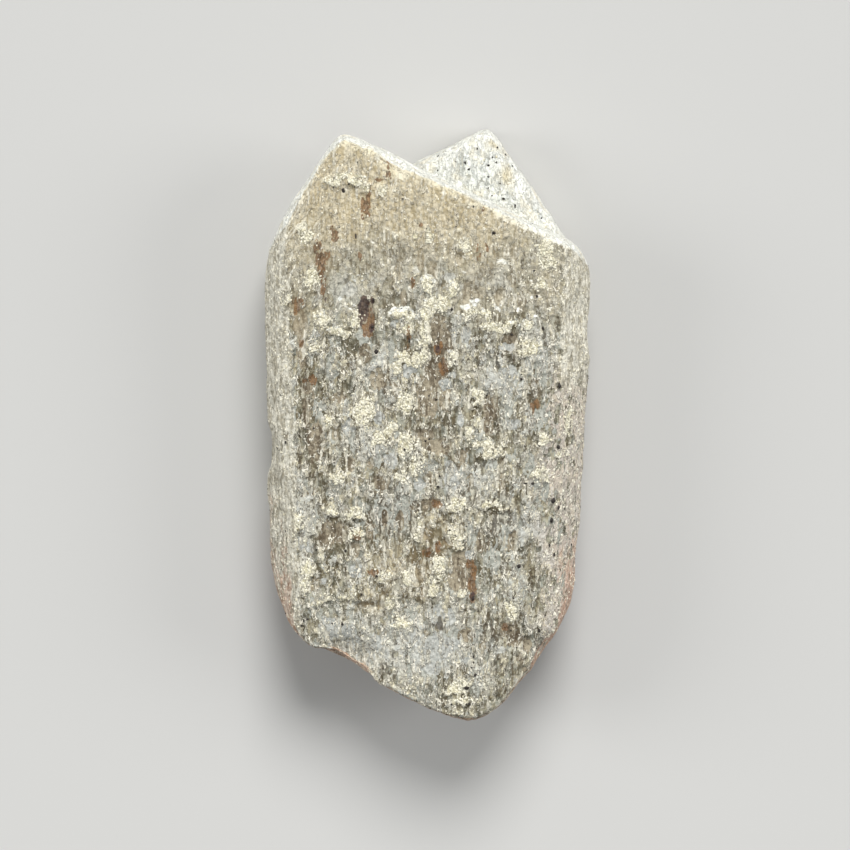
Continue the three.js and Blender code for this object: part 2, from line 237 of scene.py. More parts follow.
# Patches of the front face as the view shows them: the centre across and down, half the width
# and half the length, in pixels. Cream crust:
CRUST = seen([
    (333, 186, 7, 4), (345, 182, 9, 4), (358, 185, 9, 5), (366, 190, 6, 4), (307, 237, 6, 9),
    (383, 194, 5, 6), (323, 320, 9, 7), (342, 333, 11, 5), (316, 348, 6, 5), (315, 278, 8, 10),
    (357, 321, 6, 8), (400, 313, 9, 4), (411, 319, 4, 8), (409, 331, 6, 5), (441, 305, 13, 9),
    (429, 287, 4, 9), (456, 288, 5, 11), (428, 312, 7, 8), (425, 333, 6, 14), (424, 346, 6, 8),
    (403, 356, 9, 5), (417, 358, 10, 6), (399, 368, 5, 7), (476, 312, 11, 4), (485, 317, 4, 6),
    (468, 318, 4, 5), (495, 329, 13, 4), (510, 325, 5, 6), (452, 359, 5, 9), (527, 348, 11, 10),
    (526, 326, 6, 6), (478, 397, 6, 8), (405, 401, 9, 12), (362, 416, 9, 10), (368, 402, 7, 8),
    (380, 437, 11, 9), (392, 428, 6, 6), (406, 443, 9, 12), (416, 463, 7, 9), (400, 475, 7, 6),
    (339, 477, 8, 5), (492, 450, 11, 8), (483, 442, 9, 6), (471, 431, 7, 6), (476, 421, 5, 5),
    (543, 440, 6, 6), (536, 471, 6, 6), (541, 478, 6, 5), (457, 504, 11, 7), (452, 530, 7, 7),
    (459, 541, 5, 5), (418, 532, 5, 14), (511, 607, 7, 10), (309, 570, 6, 7), (303, 586, 5, 8),
    (331, 511, 5, 6), (357, 513, 9, 9), (360, 534, 8, 6), (320, 603, 6, 3), (334, 598, 8, 3),
    (350, 596, 9, 3), (381, 575, 8, 6), (388, 604, 6, 8), (399, 621, 7, 6), (409, 624, 5, 5),
    (456, 688, 14, 8), (462, 700, 12, 5), (455, 714, 9, 3), (438, 567, 7, 11), (435, 590, 7, 5),
    (410, 577, 4, 9), (463, 592, 5, 4), (293, 524, 11, 12), (543, 250, 9, 7), (547, 264, 7, 6),
    (540, 286, 7, 5), (397, 237, 4, 4), (414, 237, 4, 6), (429, 237, 4, 8), (466, 248, 6, 6),
    (507, 508, 9, 3), (488, 503, 10, 3), (285, 300, 6, 9), (330, 421, 4, 6), (568, 426, 6, 15),
    (563, 453, 6, 8), (573, 380, 5, 11),
], FACE_HEIGHT, CRUST_GROWTH)
# Hollows where the bare brown feldspar shows:
WINDOWS = seen([
    (438, 333, 7, 18), (468, 294, 7, 11), (434, 371, 9, 10), (427, 394, 9, 20), (445, 397, 5, 12),
    (462, 459, 4, 8), (490, 407, 6, 9), (487, 425, 4, 9), (502, 463, 2.5, 9), (501, 480, 3, 9),
    (425, 438, 7, 8), (440, 447, 10, 6), (510, 343, 6, 8), (500, 298, 5, 7), (513, 255, 2.5, 8),
    (504, 256, 2.5, 6), (511, 281, 3, 7), (477, 294, 6, 6), (535, 373, 2.5, 11), (380, 378, 8, 10),
    (308, 386, 4, 6), (308, 413, 3, 12), (303, 352, 4, 14), (316, 442, 6, 13), (336, 434, 3, 6),
    (341, 397, 6, 5), (352, 464, 3, 7), (371, 462, 3, 6), (320, 450, 4, 10), (382, 481, 8, 8),
    (430, 480, 5, 8), (433, 503, 8, 6), (312, 491, 6, 4), (325, 534, 5, 12), (332, 532, 2.5, 9),
    (341, 531, 4, 8), (357, 548, 3, 8), (385, 515, 4, 8), (420, 570, 5, 9), (425, 590, 4, 6),
    (460, 572, 10, 16), (427, 530, 4, 8), (438, 546, 3, 5), (450, 540, 6, 3), (466, 634, 6, 7),
    (425, 633, 3, 4), (482, 646, 3, 6), (514, 639, 5, 6), (526, 645, 5, 6), (520, 656, 4, 4),
    (525, 669, 3, 3), (508, 628, 5, 5), (380, 604, 5, 5), (315, 585, 3, 8), (512, 538, 5, 10),
    (369, 315, 6, 12), (299, 305, 4, 8), (459, 256, 4, 9), (421, 262, 3, 9), (399, 272, 4, 10),
    (433, 272, 4, 8), (404, 300, 3, 8), (520, 302, 4, 9), (366, 355, 5, 8), (395, 384, 5, 8),
    (470, 478, 3, 9), (480, 540, 3, 9), (400, 520, 3, 8), (370, 530, 3, 9), (302, 325, 6, 14),
    (365, 603, 8.5, 3), (318, 440, 6, 14), (445, 350, 7, 20),
], FACE_HEIGHT, WINDOW_GROWTH)
# Sound, evenly pale feldspar:
SMOOTH = seen([
    (350, 292, 8, 6), (319, 335, 5, 4), (397, 325, 6, 5), (450, 279, 7, 4), (466, 335, 5, 8),
    (408, 371, 8, 8), (448, 313, 4, 5), (430, 299, 3, 3), (452, 375, 4, 4), (445, 385, 6, 5),
    (507, 348, 9, 4), (508, 379, 9, 13), (350, 425, 7, 12), (378, 416, 6, 7), (390, 460, 6, 8),
    (420, 483, 5, 6), (452, 476, 9, 13), (460, 419, 3, 6), (512, 424, 7, 5), (304, 543, 9, 8),
    (325, 568, 5, 6), (324, 580, 4, 4), (356, 570, 9, 6), (469, 553, 4, 4), (330, 622, 10, 6),
    (340, 632, 16, 8), (354, 641, 7, 6), (380, 642, 13, 8), (412, 634, 9, 7), (436, 646, 19, 13),
    (440, 612, 10, 8), (455, 613, 8, 8), (501, 648, 5, 4), (464, 657, 7, 5), (430, 668, 10, 6),
], FACE_HEIGHT, SMOOTH_GROWTH)
# Rust along the cleavage:
RUST = seen([
    (390, 166, 2, 3), (389, 176, 2, 5), (379, 184, 4, 1.5), (372, 190, 2, 5), (370, 199, 2, 4),
    (366, 209, 4, 6), (369, 218, 2, 2), (364, 220, 1.5, 2), (336, 237, 3, 5), (320, 249, 3, 4),
    (330, 257, 2.5, 3), (322, 263, 5, 9), (324, 276, 3, 10), (325, 289, 1.5, 6), (297, 309, 3, 4),
    (299, 305, 3.5, 5), (302, 300, 3, 4), (371, 319, 4, 11), (365, 330, 1.5, 5), (409, 339, 2, 7),
    (477, 257, 2.5, 6), (486, 250, 2, 3), (482, 213, 3, 2), (438, 350, 4, 4), (443, 366, 3.5, 6),
    (315, 379, 4, 3), (306, 380, 2, 2), (303, 345, 2, 3), (534, 406, 4, 5), (361, 259, 1.5, 4),
    (413, 284, 1.5, 4), (421, 228, 2, 2), (428, 550, 4, 4), (438, 546, 2.5, 4), (472, 583, 3, 11),
    (471, 565, 4, 4), (358, 535, 4, 3), (373, 571, 4, 3), (505, 626, 3, 3), (436, 504, 4, 3),
], FACE_HEIGHT, RUST_GROWTH)
# Tan staining:
TAN = seen([
    (350, 160, 26, 16), (375, 170, 16, 12), (315, 205, 18, 20), (345, 215, 12, 12),
    (415, 188, 14, 10), (405, 220, 22, 16), (462, 220, 13, 15), (480, 240, 5, 8),
    (495, 232, 18, 12), (522, 245, 12, 8), (322, 258, 9, 12), (433, 205, 20, 10),
], FACE_HEIGHT)
# Broad zones of the front face, as centre x and y and half sizes in millimetres. Blue-grey
# feldspar:
COOL = np.array([
    (5.3, 4.2, 1.4, 2.6), (2.9, -4.1, 2.6, 1.7), (-4.5, -0.9, 1.9, 1.5), (-1.8, -16.6, 7.2, 2.6),
    (-3.3, 4.6, 1.3, 2.2), (5.4, 12.2, 1.8, 1.4), (-6.5, 11.3, 1.4, 1.3), (6.9, -7.3, 2.6, 1.4),
    (-9.4, -6.5, 1.0, 3.0), (2.4, 8.0, 1.0, 1.6), (8.6, 6.0, 1.2, 3.0), (-2.5, -6.0, 2.0, 2.0),
])
# Golden feldspar:
GOLD = np.array([
    (4.3, 16.4, 2.4, 1.9), (-8.4, 14.0, 1.4, 2.4), (-4.5, 18.3, 1.9, 1.9), (-10.0, 10.0, 0.9, 1.9),
    (-2.2, -10.8, 2.6, 2.6), (-4.1, -13.4, 1.5, 1.2), (0.6, -8.1, 1.9, 1.9),
    (-8.6, 19.0, 1.5, 1.2), (9.0, 11.5, 1.5, 1.5),
])
# Darker feldspar with less of the pale skin:
DUSK = np.array([
    (-9.0, 0.9, 1.0, 5.6), (-7.6, -8.2, 1.5, 1.7), (-3.7, -6.9, 2.4, 2.4), (3.1, -11.0, 1.5, 2.2),
    (0.8, 5.8, 1.1, 2.4), (0.1, 0.9, 1.7, 2.6), (2.9, -2.1, 1.8, 1.1), (6.5, 7.4, 1.7, 2.7),
    (5.2, -6.4, 1.5, 1.3), (6.1, -15.6, 2.2, 0.9), (8.4, 2.2, 0.9, 1.4), (-5.7, 7.4, 1.9, 1.3),
    (-0.5, -9.5, 1.6, 2.0), (4.2, 1.2, 1.5, 2.5), (-1.4, -6.1, 1.5, 1.5), (4.9, -9.3, 1.4, 1.6),
    (-1.9, 6.3, 1.1, 1.4), (2.0, -15.5, 1.6, 0.9),
])
# Umber inclusions:
UMBER = np.array([
    (-4.95, 9.7, 0.55, 1.2), (-4.3, 8.3, 0.2, 0.4), (-4.25, 10.4, 0.2, 0.35),
    (3.5, -12.8, 0.2, 0.4), (0.8, 6.6, 0.2, 0.3), (-7.9, 10.5, 0.15, 0.2),
])
# The same on the ledge of the back individual, tan and grey:
LEDGE_TAN = np.array([
    (2.3, 22.2, 0.5, 0.4), (6.1, 19.7, 0.4, 0.8), (5.6, 22.1, 0.9, 0.5), (7.0, 21.0, 0.5, 0.7),
    (0.6, 21.2, 0.6, 0.4),
])
LEDGE_GREY = np.array([
    (4.4, 19.9, 1.5, 1.5), (3.0, 20.7, 0.9, 0.8), (5.8, 17.9, 0.8, 0.5), (8.9, 16.9, 0.7, 0.7),
    (10.4, 15.2, 0.8, 0.7),
])
# Chips along the edges: centre, reach and depth
CHIPS = [
    (-6.3, -18.4, 8.4, 3.2, 0.75), (12.3, 9.0, 7.0, 2.2, 0.3), (-12.3, -1.5, 4.6, 2.4, 0.35),
    (9.6, -17.2, 8.6, 2.0, 0.4), (-2.3, 21.6, 8.6, 1.8, 0.4), (9.0, 17.6, 4.2, 1.8, 0.35),
    (4.5, -12.6, 0.4, 2.6, 0.5), (-11.2, 6.5, 0.6, 2.4, 0.45),
]
CHIP_FLOOR = 0.35
# The brink of the terrace: where it lies, how it rises across, its wave and how wide its slope is
TERRACE_Y, TERRACE_X, TERRACE_RISE, TERRACE_FADE = -13.1, -6.6, 0.1, (-2, 4)
TERRACE_WAVE, TERRACE_SLOPE = 0.9, 0.8
# The level middle of the back face that the crystal rests on, as half sizes
BACK_FLAT = (5.5, 8.5)
# How far noise bends the borders of the crust
CRUST_BEND = 0.6


def coverage(patches, x, y, ragged):
    """How far inside any patch: 1 well inside, 0 outside, by the distance in half sizes."""
    inside = np.zeros_like(x)
    for px, py, across, along in patches:
        far = np.hypot((x - px) / across, (y - py) / along)
        inside = np.maximum(inside, 1 - ease(far + ragged, 0.4, 1.4))
    return inside


def furrows(x, y):
    """Shallow furrows along c over broader ones, from -1.6 to 1.6."""
    return unevenness(x / 0.95, y / 4.2, 3.5) + 0.6 * unevenness(x / 2.3, y / 9, 8.5)


def terrace(x, y):
    """1 below the brink, a wavy line near the foot of the front face, and 0 above it."""
    wave = TERRACE_WAVE * unevenness(x / 1.6, 0 * x, 5.5)
    brink = TERRACE_Y + TERRACE_RISE * (x - TERRACE_X) + wave
    return ease(brink - y, 0, TERRACE_SLOPE) * (1 - ease(x, *TERRACE_FADE))


def fractal(x, y, z, octaves=4):
    """Unevenness, plus the same at half the size and 0.75 of the height again and again."""
    parts = [0.75 ** k * unevenness(x * 2 ** k, y * 2 ** k, z + 9.7 * k) for k in range(octaves)]
    return sum(parts) / sum(0.75 ** k for k in range(octaves))


def front_cover(x, y):
    """How far crust, window, smooth feldspar and the pale altered skin cover each point."""
    ragged = 0.35 * unevenness(x / 0.9, y / 0.9, 1.5)
    frayed = ragged + 0.45 * unevenness(x / 0.3, y / 0.45, 21.5)
    bend_x = CRUST_BEND * fractal(x / 0.9, y / 0.9, 81.5)
    bend_y = CRUST_BEND * fractal(x / 0.9, y / 0.9, 91.5)
    crust = coverage(CRUST, x + bend_x, y + bend_y, frayed)
    window = (1 - crust) * coverage(WINDOWS, x, y, frayed / 2)
    smooth = (1 - crust) * coverage(SMOOTH, x, y, frayed)
    lean = (0.25 * crust - 0.25 * coverage(DUSK, x, y, ragged) - 0.3 * window - 0.15 * smooth
            + 0.05 * ease(abs(x), 9, 11.5) + 0.25 * ease(x, 7, 9.5) * ease(y, 8, 11))
    pale = ease(fractal(x / 0.5, y / 1.3, 41.5) + lean, -0.16, 0.1)
    return crust, window, smooth, pale


def plates(x, y):
    """Depth from 0 to 1 of the etched plates along c: each plate of two sizes has its level."""
    bend = 0.25 * unevenness(x / 1.3, y / 1.9, 12.5)
    small = grains((x + bend) / PLATE_SIZE[0], y / PLATE_SIZE[1], 0 * x + 0.5)[2]
    broad = grains((x + bend) / BROAD_PLATE_SIZE[0], y / BROAD_PLATE_SIZE[1], 0 * x + 9.5)[2]
    return 0.6 * small + 0.4 * broad


def crumbs(x, y, z, size):
    """Domes of grains of one size, from 0 between grains to 1 on top of one."""
    return 1 - np.clip(grains(x / size, y / size, z / size)[0] / 0.8, 0, 1) ** 2


def front_relief(x, y, z):
    """Crust with its crumbs, or furrows with plates etched in and a sugary skin, less the windows
    and the terrace."""
    crust, window, smooth, pale = front_cover(x, y)
    bare = 1 - crust
    lumpy = fractal(x / 0.6, y / 0.8, 61.5) + 0.5 * (crumbs(x, y, z, GRAIN_SIZE) - 0.7)
    return (crust * (CRUST_HEIGHT + GRAIN_HEIGHT * lumpy)
            + bare * FURROW_DEPTH * furrows(x, y)
            - bare * (1 - pale) * (PALE_HEIGHT + PLATE_DEPTH * plates(x, y))
            + bare * pale * SUGAR_HEIGHT * (crumbs(x, y, z, 0.24) - 0.5)
            - WINDOW_DEPTH * window - TERRACE_DEPTH * terrace(x, y))


def ledge_relief(x, y, z):
    """Broad unevenness, less coarse crumbs, plus fine ones."""
    return (LEDGE_ROUGHNESS * unevenness(x / 1.1, y / 1.1, 6.5)
            - 0.08 * crumbs(x, y, z, 0.5) + SUGAR_HEIGHT * (crumbs(x, y, z, 0.25) - 0.5))


def back_relief(x, y, z):
    """Shallow hollows outside the level middle, less etched plates in some areas."""
    depth = 0.9 * furrows(x + 40, y) + 0.7 * unevenness(x / 3.1, y / 4.3, 2.5) - 0.25
    outside = ease(np.hypot(x / BACK_FLAT[0], y / BACK_FLAT[1]), 1, 1.3)
    etched = 0.12 * plates(x + 60, y) * ease(unevenness(x / 1.4, y / 2.4, 14.5), -0.3, 0.3)
    return -BACK_DEPTH * outside * np.clip(depth, 0, 1) - etched


def wall_relief(x, y, z):
    """Unevenness of two sizes, growth lines along the walls and a sugary grain."""
    broad = unevenness(x / 2.6, y / 2.6, z / 2.2)
    fine = unevenness(x / 1.1 + 20, y / 1.1, z / 1.1)
    growth = unevenness(0 * x, y / 7, z / 0.42)
    sugar = crumbs(x, y, z, SUGAR_SIZE) - 0.6
    return (WALL_ROUGHNESS * (0.8 * broad + 0.5 * fine - 0.3)
            + 0.05 * growth + SUGAR_HEIGHT * sugar)


def chip_depth(points):
    """The deepest chip at each point: a smooth bite of each chip's reach and depth."""
    depth = np.zeros(len(points))
    for x, y, z, reach, most in CHIPS:
        far = np.linalg.norm(points - (x, y, z), axis=1)
        depth = np.maximum(depth, most * (1 - ease(far, CHIP_FLOOR * reach, reach)))
    return depth


def individual(shape, upper, lower):
    """Vertices and quads of one closed individual: placed, worn and then roughened."""
    lattice, quads = box_skin(shape["cells"])
    ends, faces = faces_of(shape)
    points, normal = worn(unworn(shape, lattice / np.array(shape["cells"]), ends), faces)
    x, y, z = points.T
    up, down = ease(normal[:, 2], 0.6, 0.95), ease(-normal[:, 2], 0.6, 0.95)
    height = (up * upper(x, y, z) + down * lower(x, y, z) + (1 - up - down) * wall_relief(x, y, z)
              - (1 - down) * chip_depth(points))
    points = points + normal * height[:, None]
    points[:, 2] = np.maximum(points[:, 2], 0)
    return points, quads


def mesh_object(name, points, quads):
    """A linked object of that name with a mesh of these points and faces."""
    mesh = bpy.data.meshes.new(name)
    mesh.from_pydata(points.tolist(), [], quads.tolist())
    mesh.update()
    piece = bpy.data.objects.new(name, mesh)
    bpy.context.scene.collection.objects.link(piece)
    return piece


# The two individuals, grown together into one closed skin
front = mesh_object("front_individual", *individual(FRONT, front_relief, ledge_relief))
back = mesh_object("back_individual", *individual(BACK, ledge_relief, back_relief))
join = front.modifiers.new("grown together", "BOOLEAN")
join.operation = "UNION"
join.solver = "MANIFOLD"
join.object = back
bpy.context.view_layer.update()
grown = bpy.data.meshes.new_from_object(front.evaluated_get(bpy.context.evaluated_depsgraph_get()))
bpy.data.objects.remove(front)
bpy.data.objects.remove(back)


def read(mesh, what):
    """One row of three numbers per vertex: its place (co) or the way it faces (normal)."""
    rows = np.empty(len(mesh.vertices) * 3)
    mesh.vertices.foreach_get(what, rows)
    return rows.reshape(-1, 3)


# The finished mesh fills the frame's box exactly
low, high = (np.array(corner) * 1000 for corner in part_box("sanidine_crystal"))
points = read(grown, "co")
points = low + (points - points.min(0)) / np.ptp(points, axis=0) * (high - low)
grown.vertices.foreach_set("co", (points / 1000).ravel())
grown.polygons.foreach_set("use_smooth", np.ones(len(grown.polygons), bool))
grown.polygons.foreach_set("material_index", np.zeros(len(grown.polygons), int))
grown.update()
facing = read(grown, "normal")
crystal = bpy.data.objects.new("crystal", grown)
bpy.context.scene.collection.objects.link(crystal)
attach(crystal, "root")
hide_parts("sanidine_crystal")

# Where each finish lies, as one number from 0 to 1 per vertex. These are the spans over which the
# zones fade in along y, and the rosy one along x.
UPPER_TAN, UPPER_HAZE, UPPER_CALM = (10, 20), (6, 14), (4, 14)
LIT_CHALKY_END, CHALKY_LEDGE, REDDISH_FOOT = (4, 9), (8, 12), (-14, 2)
ROSY_SIDE, ROSY_TOP = (7.5, 10.5), (2, 7)
x, y, z = points.T
nx, ny, nz = facing.T
on_front = ease(nz, 0.35, 0.8) * ease(z, 5.5, 7.0)
on_ledge = ease(nz, 0.35, 0.8) * (1 - ease(z, 5.0, 6.0)) * ease(z, 3.0, 4.0)
# The upper end faces, which face the key light, are painted paler: painted light as well as chalk
lit_end = ease(ny, 0.12, 0.5) * ease(y, *LIT_CHALKY_END)
on_side = ease(abs(nx), 0.25, 0.6) * (1 - lit_end)
crust, window, smooth, pale = front_cover(x, y)
ragged = 0.4 * unevenness(x / 0.35, y / 0.6, 33.5)
top = ease(y + 3 * unevenness(x / 2.1, y / 3.3, 44.5), *UPPER_TAN)
masks = {
    "crust": on_front * crust,
    "window": on_front * window,
    "smooth": on_front * smooth,
    "pale": on_front * pale + (1 - on_front) * 0.7,
    "rust": on_front * coverage(RUST, x, y, ragged),
    "umber": on_front * coverage(UMBER, x, y, ragged / 2),
    "tan": np.maximum(on_front * np.maximum(top, 0.6 * coverage(TAN, x, y, ragged)),
                      on_ledge * coverage(LEDGE_TAN, x, y, ragged)),
    "chalk_and_lit_end": np.maximum(lit_end, on_ledge * ease(y, *CHALKY_LEDGE)),
    "side": on_side * (1 - 0.8 * ease(x, 6, 9) * (1 - ease(y, *ROSY_TOP))),
    # Reddish towards the lower end, on all but the upward faces
    "reddish_low_walls": ((1 - ease(nz, 0.35, 0.9))
             * (1 - ease(y + 2 * unevenness(x / 2, y / 2, z / 2), *REDDISH_FOOT))),
    "calm": np.maximum(ease(y + 2 * unevenness(x / 2.2, y / 3, 54.5), *UPPER_CALM),
                       ease(fractal(x / 1.2, y / 2.6, 64.5), 0.0, 0.4)),
    "cool": np.maximum(on_front * coverage(COOL, x, y, ragged),
                       on_ledge * coverage(LEDGE_GREY, x, y, ragged)),
    "haze": on_front * ease(y + 3 * unevenness(x / 1.9, y / 3.1, 94.5), *UPPER_HAZE),
    "gold": on_front * coverage(GOLD, x, y, ragged),
    "dusk": on_front * coverage(DUSK, x, y, ragged),
    "rosy": (ease(x + unevenness(x / 1.5, y / 3, 74.5), *ROSY_SIDE)
             * (1 - ease(y, *ROSY_TOP))),
}
for name, values in masks.items():
    grown.attributes.new(name, "FLOAT", "POINT").data.foreach_set("value", values)


def linear(colour):
    """An sRGB colour such as #c0ffee in linear light, with full alpha."""
    s = np.array([int(colour[i:i + 2], 16) for i in (1, 3, 5)]) / 255
    return (*np.where(s <= 0.04045, s / 12.92, ((s + 0.055) / 1.055) ** 2.4), 1.0)


def node(tree, kind, inputs, **settings):
    """Adds one node with its settings. Each input, by name or number, is a value or an output."""
    new = tree.nodes.new("ShaderNode" + kind)
    for name, value in settings.items():
        setattr(new, name, value)
    for name, value in inputs.items():
        if isinstance(value, bpy.types.NodeSocket):
            tree.links.new(value, new.inputs[name])
        else:
            new.inputs[name].default_value = value
    return new


def new_material(name):
    """An empty material, its node tree, its shader and Object coordinates in millimetres."""
    material = bpy.data.materials.new(name)
    material.use_nodes = True
    tree = material.node_tree
    tree.nodes.clear()
    shader = node(tree, "BsdfPrincipled", {})
    node(tree, "OutputMaterial", {"Surface": shader.outputs[0]})
    place = node(tree, "TexCoord", {}).outputs["Object"]
    place = node(tree, "VectorMath", {0: place, 1: (1000, 1000, 1000)}, operation="MULTIPLY")
    return material, tree, shader, place.outputs[0]


def grained(tree, place, size, detail, rough, shift=0.0):
    """Uneven grain of that size in mm across, along and through, from 0 to 1."""
    mapped = node(tree, "Mapping", {"Vector": place, "Location": (shift, shift, shift),
                                    "Scale": tuple(1 / s for s in size)}).outputs[0]
    return node(tree, "TexNoise", {"Vector": mapped, "Scale": 1.0, "Detail": detail,
                                   "Roughness": rough}).outputs[0]


def plated(tree, place, size, ragged, shift):
    """A number from 0 to 1 for each plate of a patchwork with plates of that size in mm, a second
    one, and how far it is to the middle of the plate. Noise of a third of that size moves the
    borders by that share of a plate."""
    mapped = node(tree, "Mapping", {"Vector": place, "Location": (shift, shift, shift),
                                    "Scale": tuple(1 / s for s in size)}).outputs[0]
    noise = node(tree, "TexNoise", {"Vector": mapped, "Scale": 3.0, "Detail": 2.0}).outputs[1]
    moved = node(tree, "VectorMath", {0: noise, 1: (ragged,) * 3, 2: mapped},
                 operation="MULTIPLY_ADD").outputs[0]
    plate = node(tree, "TexVoronoi", {"Vector": moved, "Scale": 1.0})
    parts = node(tree, "SeparateColor", {0: plate.outputs["Color"]})
    return parts.outputs[0], parts.outputs[1], plate.outputs["Distance"]


def weighed(tree, *terms, span=None):
    """Sum of the outputs, each on its own or with a factor before it. With a span, 0 below its
    first number and 1 above its second, eased between."""
    result = 0.0
    for term in terms:
        factor, output = term if isinstance(term, tuple) else (1.0, term)
        result = node(tree, "Math", {0: output, 1: factor, 2: result},
                      operation="MULTIPLY_ADD").outputs[0]
    if span:
        result = node(tree, "MapRange", {"Value": result, "From Min": span[0],
                                         "From Max": span[1]},
                      interpolation_type="SMOOTHSTEP").outputs[0]
    return result


def laid(tree, under, over, *share):
    """The finish under with the finish over laid on it, by a share that is a sum of terms. A
    finish is a hex colour or an output."""
    under, over = (linear(c) if isinstance(c, str) else c for c in (under, over))
    return node(tree, "Mix", {0: weighed(tree, *share), 6: under, 7: over},
                data_type="RGBA").outputs[2]


def lines(tree, value, middle, half):
    """1 on the lines where the value passes the middle, 0 from half away from it."""
    off = node(tree, "Math", {0: value, 1: middle}, operation="SUBTRACT").outputs[0]
    off = node(tree, "Math", {0: off}, operation="ABSOLUTE").outputs[0]
    return weighed(tree, off, span=(half, 0.3 * half))


def strongest(tree, *outputs):
    """The highest of the outputs at each point."""
    result = outputs[0]
    for other in outputs[1:]:
        result = node(tree, "Math", {0: result, 1: other}, operation="MAXIMUM").outputs[0]
    return result


# Weathered sanidine: a grey-brown, faintly glassy feldspar with fibres along c, under a ragged skin
# of pale altered feldspar and a cream crust, with rust where iron seeped in along the cleavage.
# Real fibres and grit are under 0.05 mm, too fine to show, so they are drawn 0.2 mm and coarser.
stone, tree, shader, place = new_material("weathered sanidine")
fibre = grained(tree, place, (0.26, 1.5, 0.4), 3.0, 0.62)
rag = grained(tree, place, (0.45, 1.3, 0.5), 4.0, 0.66, 5.7)
flake = grained(tree, place, (0.34, 0.75, 0.4), 1.0, 0.5, 7.3)
cloud = grained(tree, place, (1.3, 2.0, 1.3), 3.0, 0.6, 3.1)
speck = grained(tree, place, (0.24, 0.34, 0.26), 2.0, 0.6, 11.9)
streak = grained(tree, place, (0.38, 2.6, 0.6), 3.0, 0.6, 21.3)
tone, tint, _ = plated(tree, place, (0.9, 1.9, 0.9), 1.5, 5.3)
small, hue, _ = plated(tree, place, (0.36, 0.8, 0.5), 1.2, 9.1)
stroke, _, _ = plated(tree, place, (0.22, 0.9, 0.3), 0.8, 13.7)
grit, _, crevice = plated(tree, place, (0.32, 0.36, 0.32), 0.8, 17.3)
gritty = weighed(tree, speck, span=(0.42, 0.58))
stripe = weighed(tree, (0.6, fibre), (0.4, speck), span=(0.43, 0.55))
mask = {name: node(tree, "Attribute", {}, attribute_name=name).outputs["Fac"] for name in masks}

# Bare feldspar: plates along c, each of its own tone, browner in the windows, blue-grey here and
# golden there, even and pale where it is sound
shade = weighed(tree, (0.5, tone), (0.35, small), (0.35, stripe), (-0.25, mask["dusk"]))
shady = laid(tree, "#60563f", "#595645", hue)
shady = laid(tree, shady, "#73706a", (0.8, mask["cool"]))
sunny = laid(tree, "#b3aa8e", "#abada2", hue)
bare = laid(tree, shady, sunny, weighed(tree, shade, span=(0.1, 1.05)))
window = weighed(tree, (0.6, mask["window"]), (0.7, streak), (0.5, rag), (0.12, mask["dusk"]),
                 span=(0.77, 0.82))
brown = laid(tree, "#5f5342", "#aca18a", weighed(tree, shade, span=(0.0, 0.9)))
bare = laid(tree, bare, brown, window)
bluish = weighed(tree, tint, (0.18, mask["cool"]), (-0.3, mask["window"]), span=(0.84, 0.86))
bare = laid(tree, bare, laid(tree, "#a3a499", "#bdbdb2", gritty), bluish)
bare = laid(tree, bare, "#a48f66", (0.3, mask["gold"]))
even = weighed(tree, (0.7, mask["smooth"]), (0.8, rag), (0.4, streak), span=(0.98, 1.06))
bare = laid(tree, bare, laid(tree, "#acada6", "#c8c8c0", gritty), even)

# The pale skin: cream here, greyish white there, with painted shade in its crevices
skin = laid(tree, "#dfd7ba", "#d3d4ca", weighed(tree, hue, span=(0.2, 0.8)))
skin = laid(tree, skin, "#8b8373", (0.7, gritty))
skin = laid(tree, skin, "#7d7667", (0.5, weighed(tree, crevice, span=(0.4, 0.75))))
skin = laid(tree, skin, "#cfd0c9", (0.5, mask["cool"]))
skin = laid(tree, skin, "#d3bf94", (0.3, mask["gold"]))
skin = laid(tree, skin, "#d6c6ba", (0.5, mask["rosy"]))
edge = weighed(tree, (0.3, mask["pale"]), (0.9, rag), (0.08, small), (0.09, mask["cool"]),
               (0.06, mask["rosy"]))
share = weighed(tree, edge, span=(0.668, 0.678))
colour = laid(tree, bare, skin, share)

# A grey-tan haze over the upper part, and tan staining near the top
colour = laid(tree, colour, laid(tree, "#978d77", "#c8c0a9", stripe), (0.6, mask["haze"]))
tanned = weighed(tree, mask["tan"], (0.5, rag), (0.6, cloud), span=(0.7, 1.5))
colour = laid(tree, colour, laid(tree, "#c3b38f", "#d9cdb1", stripe), (0.75, tanned))

# The cream crust, with painted shade in the crevices between its grits
rim = weighed(tree, (0.8, mask["crust"]), (1.2, rag), (0.2, hue))
crusted = weighed(tree, rim, span=(1.14, 1.16))
cream = laid(tree, "#d3cba8", "#f5f1da", grit)
cream = laid(tree, cream, "#8a8268", (0.6, weighed(tree, crevice, span=(0.4, 0.75))))
colour = laid(tree, colour, cream, (0.95, crusted))

# Skin and crust get a painted highlight on the lip and painted shade at the foot, and short broken
# curls
broken = weighed(tree, (0.5, speck), (0.5, rag), (0.05, share), (0.06, crusted),
                 (-0.05, mask["calm"]), span=(0.5, 0.52))
curl_highlight = weighed(tree, (broken, lines(tree, flake, 0.52, 0.05)))
shadow = weighed(tree, (broken, lines(tree, flake, 0.455, 0.03)))
lip_highlight = strongest(tree, lines(tree, edge, 0.69, 0.02), lines(tree, rim, 1.22, 0.05), curl_highlight)
foot_shade = strongest(tree, lines(tree, edge, 0.65, 0.018), lines(tree, rim, 1.08, 0.05))
# Painted shade at the foot, painted shadow beside the curls, painted highlight on the lip and the
# curls
colour = laid(tree, colour, "#514939", (0.8, foot_shade), (-0.3, mask["calm"]))
colour = laid(tree, colour, "#5c5444", (0.65, shadow), (-0.25, mask["calm"]))
colour = laid(tree, colour, "#fbf5e3", (0.95, lip_highlight), (-0.3, mask["calm"]))
